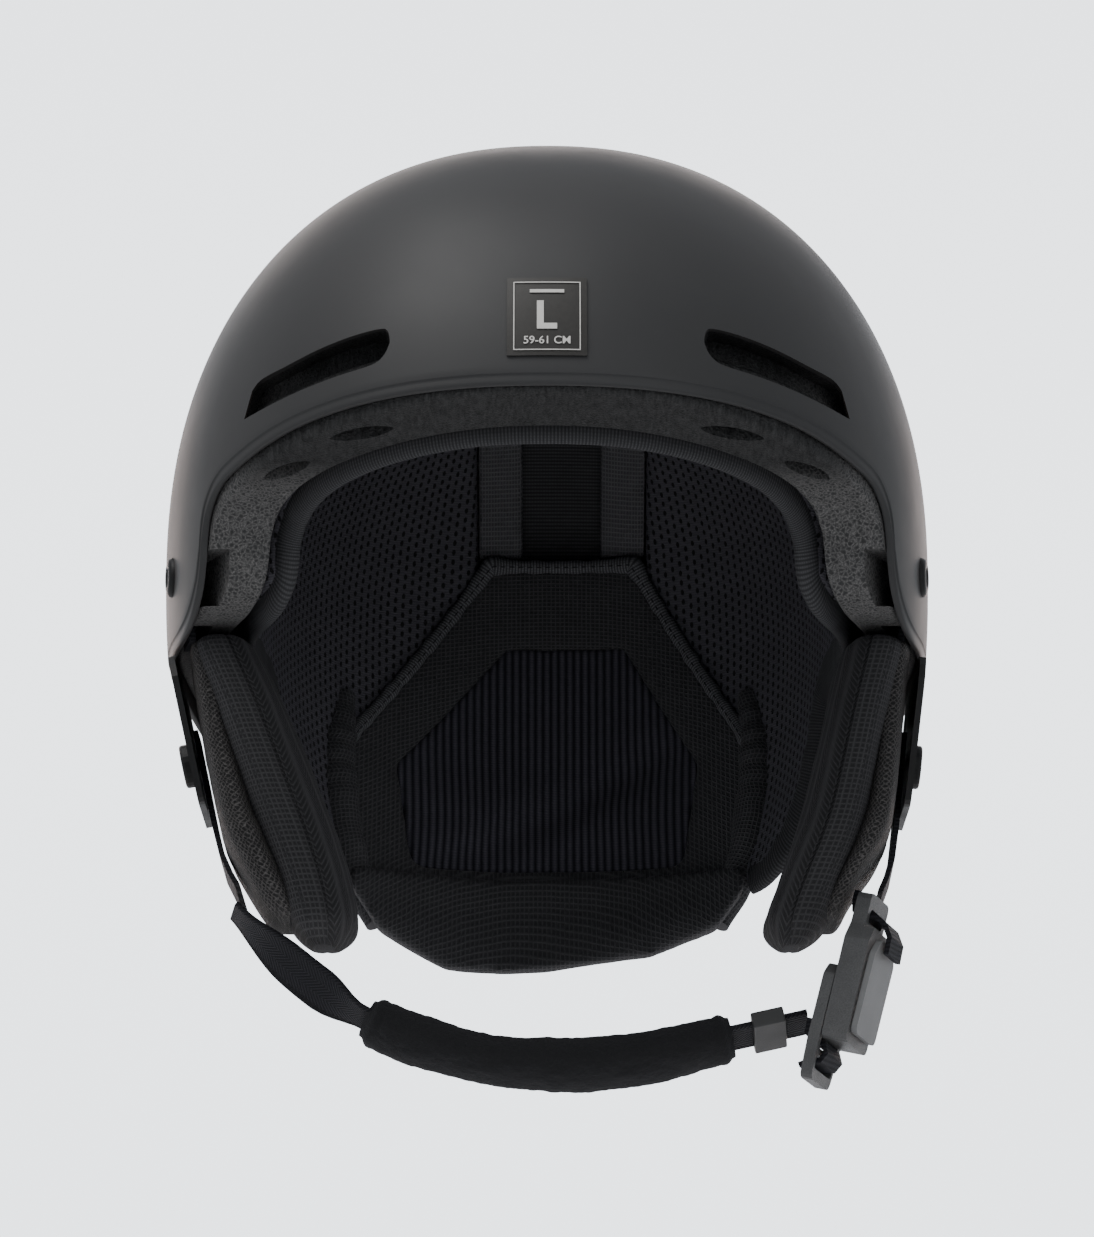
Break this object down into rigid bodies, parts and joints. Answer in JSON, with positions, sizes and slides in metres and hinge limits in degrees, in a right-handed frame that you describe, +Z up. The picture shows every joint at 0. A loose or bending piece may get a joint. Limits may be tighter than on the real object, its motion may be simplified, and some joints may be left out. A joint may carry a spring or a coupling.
{
  "type": "ski helmet",
  "caption": "Hard-shell ski helmet with foam liner, padded comfort liner, hinged ear flaps, padded chin strap with magnetic buckle and a goggle strap retainer at the back.",
  "frame": {"origin": "the centre of the wearer's head at ear-hole level, midway between the ears", "axes": "+X towards the wearer's left, +Y towards the back of the head, +Z up; the wearer looks along -Y"},
  "size_m": [0.2204, 0.2868, 0.271],
  "materials": {
    "shell_black": "matte moulded shell",
    "foam_grey": "beaded foam",
    "black_knit": "coarse knit",
    "waffle_fabric": "fine waffle weave",
    "spacer_mesh": "perforated mesh",
    "fleece": "brushed fleece",
    "webbing": "woven webbing",
    "black_plastic": "satin",
    "grey_plastic": "satin",
    "steel": "plain",
    "label_film": "printed film"
  },
  "bodies": {
    "helmet": {"outer_shell": "shell_black", "foam_liner": "foam_grey", "size_label": "label_film", "front_rivet_left": "black_plastic", "front_rivet_right": "black_plastic", "rear_rivet_left": "black_plastic", "rear_rivet_right": "black_plastic", "front_washer_left": "steel", "front_washer_right": "steel", "rear_washer_left": "steel", "rear_washer_right": "steel", "front_tab_left": "webbing", "front_tab_right": "webbing", "rear_tab_left": "webbing", "rear_tab_right": "webbing", "crown_band_left": "waffle_fabric", "crown_band_right": "waffle_fabric", "mesh_panel_left": "spacer_mesh", "mesh_panel_right": "spacer_mesh", "liner_dot_front_left": "black_knit", "liner_dot_front_right": "black_knit", "liner_dot_crown_left": "black_knit", "liner_dot_crown_right": "black_knit", "liner_dot_rear_left": "black_knit", "liner_dot_rear_right": "black_knit", "back_flap": "waffle_fabric", "rib_panel": "spacer_mesh", "neck_roll": "waffle_fabric", "brow_binding": "black_knit", "liner_trim": "black_knit", "clip_base": "black_plastic", "clip_stud": "steel"},
    "ear_flap_left": {"ear_plate_left": "black_plastic", "ear_rivet_left": "black_plastic", "strap_loop_left": "black_knit", "ear_backing_left": "black_knit", "ear_cushion_left": "waffle_fabric"},
    "ear_flap_right": {"ear_plate_right": "black_plastic", "ear_rivet_right": "black_plastic", "strap_loop_right": "black_knit", "ear_backing_right": "black_knit", "ear_cushion_right": "waffle_fabric"},
    "short_strap": {"short_webbing": "webbing", "buckle_housing": "black_plastic", "housing_magnet": "steel", "buckle_cover": "grey_plastic"},
    "chin_strap": {"chin_webbing": "webbing", "chin_pad": "fleece"},
    "keeper": {"strap_keeper": "grey_plastic"},
    "slider": {"buckle_slider": "black_plastic", "slider_magnet": "steel", "slider_webbing": "webbing"},
    "goggle_band": {"clip_band": "black_knit", "clip_button": "black_plastic"}
  },
  "joints": [
    {"name": "ear_left_flare", "type": "hinge", "parent": "helmet", "child": "ear_flap_left", "pos_m": [0.107, 0, 0.0076], "axis": [0, -1, 0], "range_deg": [0, 10]},
    {"name": "ear_right_flare", "type": "hinge", "parent": "helmet", "child": "ear_flap_right", "pos_m": [-0.107, 0, 0.0076], "axis": [0, 1, 0], "range_deg": [0, 10]},
    {"name": "chin_strap_swing", "type": "hinge", "parent": "ear_flap_right", "child": "chin_strap", "pos_m": [-0.0885, -0.012, -0.058], "axis": [-1, 0, 0], "range_deg": [-15, 2]},
    {"name": "short_strap_swing", "type": "hinge", "parent": "ear_flap_left", "child": "short_strap", "pos_m": [0.0885, -0.012, -0.058], "axis": [-1, 0, 0], "range_deg": [-15, 2]},
    {"name": "keeper_slide", "type": "slide", "parent": "chin_strap", "child": "keeper", "axis": [0.9762, 0, 0.2169], "range_m": [-0.003, 0.003]},
    {"name": "buckle_release", "type": "slide", "parent": "chin_strap", "child": "slider", "axis": [0.3311, 0.9397, -0.0856], "range_m": [0, 0.014]},
    {"name": "goggle_band_lift", "type": "hinge", "parent": "helmet", "child": "goggle_band", "pos_m": [0, 0.1457, 0.058], "axis": [1, 0, 0], "range_deg": [0, 110]}
  ],
  "couplings": [
    {"joint": "short_strap_swing", "follows": "chin_strap_swing", "ratio": 1}
  ]
}
